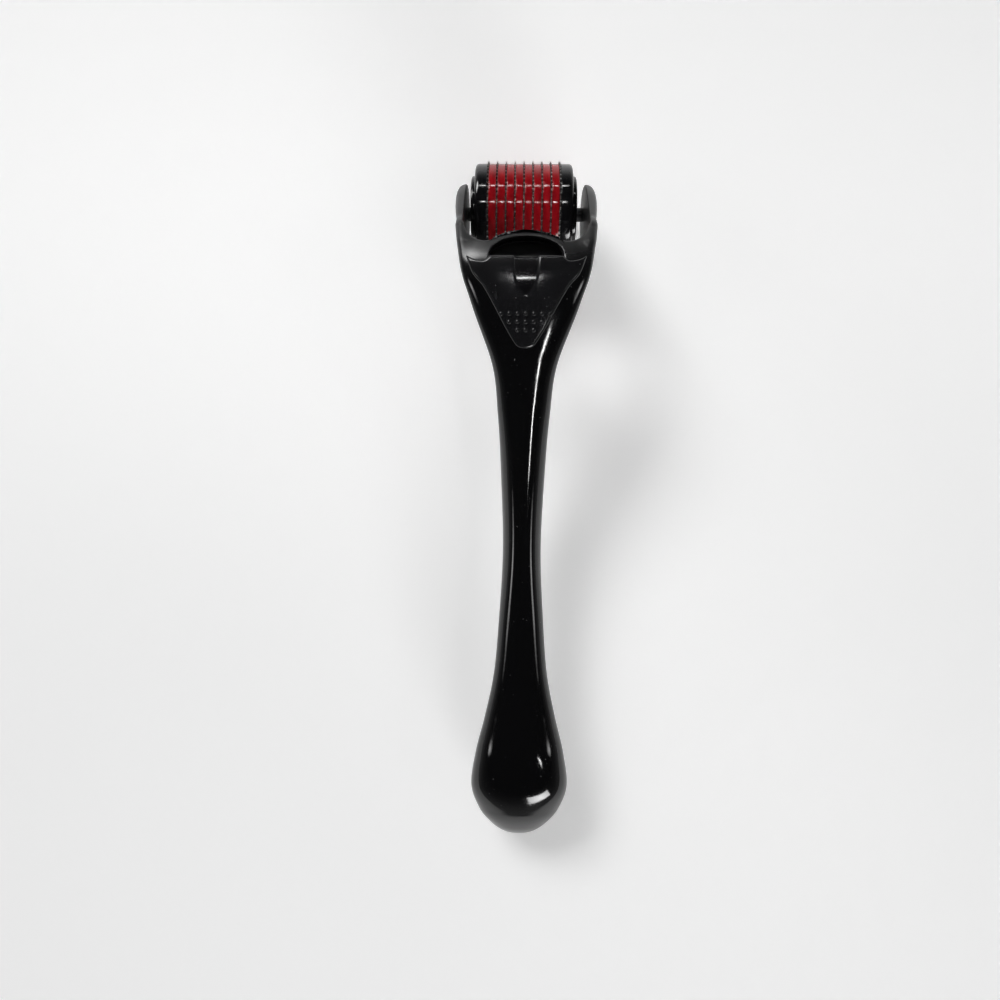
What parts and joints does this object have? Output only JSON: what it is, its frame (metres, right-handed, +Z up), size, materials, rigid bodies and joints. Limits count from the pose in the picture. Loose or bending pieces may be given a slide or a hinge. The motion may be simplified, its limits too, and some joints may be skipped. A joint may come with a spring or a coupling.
{
  "type": "derma roller",
  "caption": "Slim curved two-shell handle whose front forks round a small roller of stacked needle discs and red spacer rings on an axle.",
  "frame": {"origin": "centre of the footprint box on the surface that the part rests on, lying on its roller and the underside of its tail", "axes": "+Y along the handle from the tail to the roller, +X along the roller's axle, +Z up"},
  "size_m": [0.0268, 0.1326, 0.0302],
  "materials": {
    "handle_gloss": "glossy black moulded ABS",
    "cover_gloss": "glossy black moulded ABS",
    "axle_black": "satin black plastic",
    "core_black": "satin black plastic",
    "cap_black": "glossy black moulded plastic",
    "needle_steel": "etched stainless steel",
    "spacer_red": "glossy translucent red plastic"
  },
  "bodies": {
    "handle": {"handle_body": "handle_gloss", "handle_top_shell": "handle_gloss", "head_cover": "cover_gloss"},
    "roller": {"axle": "axle_black", "roller_core": "core_black", "end_cap_left": "cap_black", "end_cap_right": "cap_black", "needle_disc_1": "needle_steel", "needle_disc_2": "needle_steel", "needle_disc_3": "needle_steel", "needle_disc_4": "needle_steel", "needle_disc_5": "needle_steel", "needle_disc_6": "needle_steel", "needle_disc_7": "needle_steel", "needle_disc_8": "needle_steel", "needle_disc_9": "needle_steel", "spacer_ring_1": "spacer_red", "spacer_ring_2": "spacer_red", "spacer_ring_3": "spacer_red", "spacer_ring_4": "spacer_red", "spacer_ring_5": "spacer_red", "spacer_ring_6": "spacer_red", "spacer_ring_7": "spacer_red", "spacer_ring_8": "spacer_red"}
  },
  "joints": [
    {"name": "roller_spin", "type": "hinge", "parent": "handle", "child": "roller", "pos_m": [0, 0.0567, 0.0096], "axis": [1, 0, 0], "continuous": true}
  ]
}
